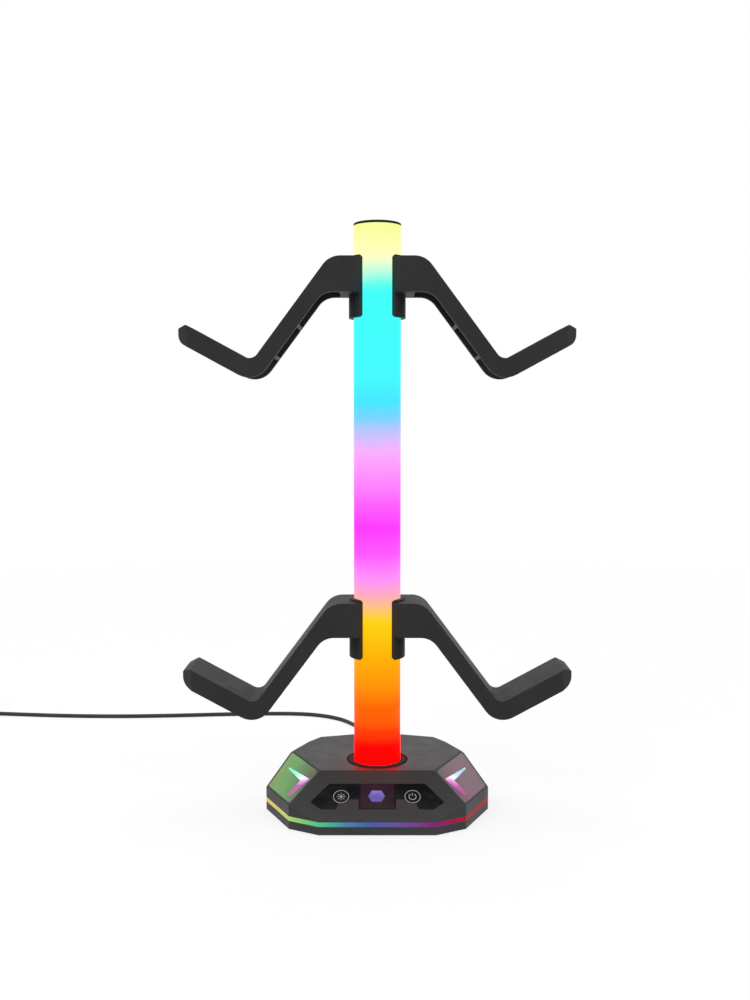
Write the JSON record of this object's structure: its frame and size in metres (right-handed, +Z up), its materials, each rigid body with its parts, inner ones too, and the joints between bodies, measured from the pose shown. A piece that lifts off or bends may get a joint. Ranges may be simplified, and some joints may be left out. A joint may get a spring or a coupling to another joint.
{
  "type": "controller headset stand",
  "caption": "Desk stand with a lit tube on a faceted, lit base; clip-on double hooks on the tube hold game controllers, and a USB lead feeds it.",
  "frame": {"origin": "on the tube's axis at the level of the table, at the centre of the base", "axes": "+X to the right of the front, +Y to the rear, where the lead leaves, +Z up along the tube"},
  "size_m": [0.3392, 0.2048, 0.2498],
  "materials": {
    "tray_plastic": "fine moulded texture, dark grey",
    "cover_plastic": "fine moulded texture, grey",
    "holder_plastic": "satin moulded, dark grey",
    "ring_light": "frosted light guide, lit in changing colours",
    "window_green": "translucent, lit green",
    "window_mauve": "translucent, lit mauve",
    "chevron_light": "clear light guide, lit cyan to magenta",
    "panel_gloss": "polished black touch panel",
    "mark_tint": "smoked purple lens",
    "collar_black": "polished black",
    "weight_steel": "zinc plated sheet",
    "circuit_board": "green solder mask",
    "strip_white": "white solder mask",
    "lamp_white": "small lamp packages",
    "screw_steel": "nickel plated",
    "foot_rubber": "black rubber",
    "tube_light": "frosted tube, lit in bands of colour",
    "plug_plastic": "black moulded",
    "cap_plastic": "satin black",
    "gland_rubber": "soft black",
    "wire_jacket": "thin insulated wire",
    "lead_jacket": "matt dark grey jacket",
    "tie_fabric": "woven hook and loop tape",
    "plug_body": "black overmould",
    "plug_metal": "nickel plated shell"
  },
  "bodies": {
    "root": {"base_tray": "tray_plastic", "light_ring": "ring_light", "base_cover": "cover_plastic", "window_left": "window_green", "window_right": "window_mauve", "chevron_left": "chevron_light", "chevron_right": "chevron_light", "touch_panel": "panel_gloss", "mark_lens": "mark_tint", "socket_collar": "collar_black", "weight_plate": "weight_steel", "main_board": "circuit_board", "touch_board": "circuit_board", "window_boards": "circuit_board", "ring_strip": "strip_white", "ring_lamps": "lamp_white", "board_screws": "screw_steel", "base_screws": "screw_steel", "tube_screws": "screw_steel", "foot_front_left": "foot_rubber", "foot_front_right": "foot_rubber", "foot_rear_left": "foot_rubber", "foot_rear_right": "foot_rubber", "light_tube": "tube_light", "tube_plug": "plug_plastic", "led_spine": "strip_white", "spine_lamps": "lamp_white", "tube_cap": "cap_plastic", "upper_holder": "holder_plastic", "lower_holder": "holder_plastic", "cable_gland": "gland_rubber", "power_wires": "wire_jacket", "cable_lead": "lead_jacket", "cable_coil": "lead_jacket", "cable_tie": "tie_fabric", "cable_tail": "lead_jacket", "usb_plug_body": "plug_body", "usb_plug_shell": "plug_metal"}
  },
  "joints": []
}
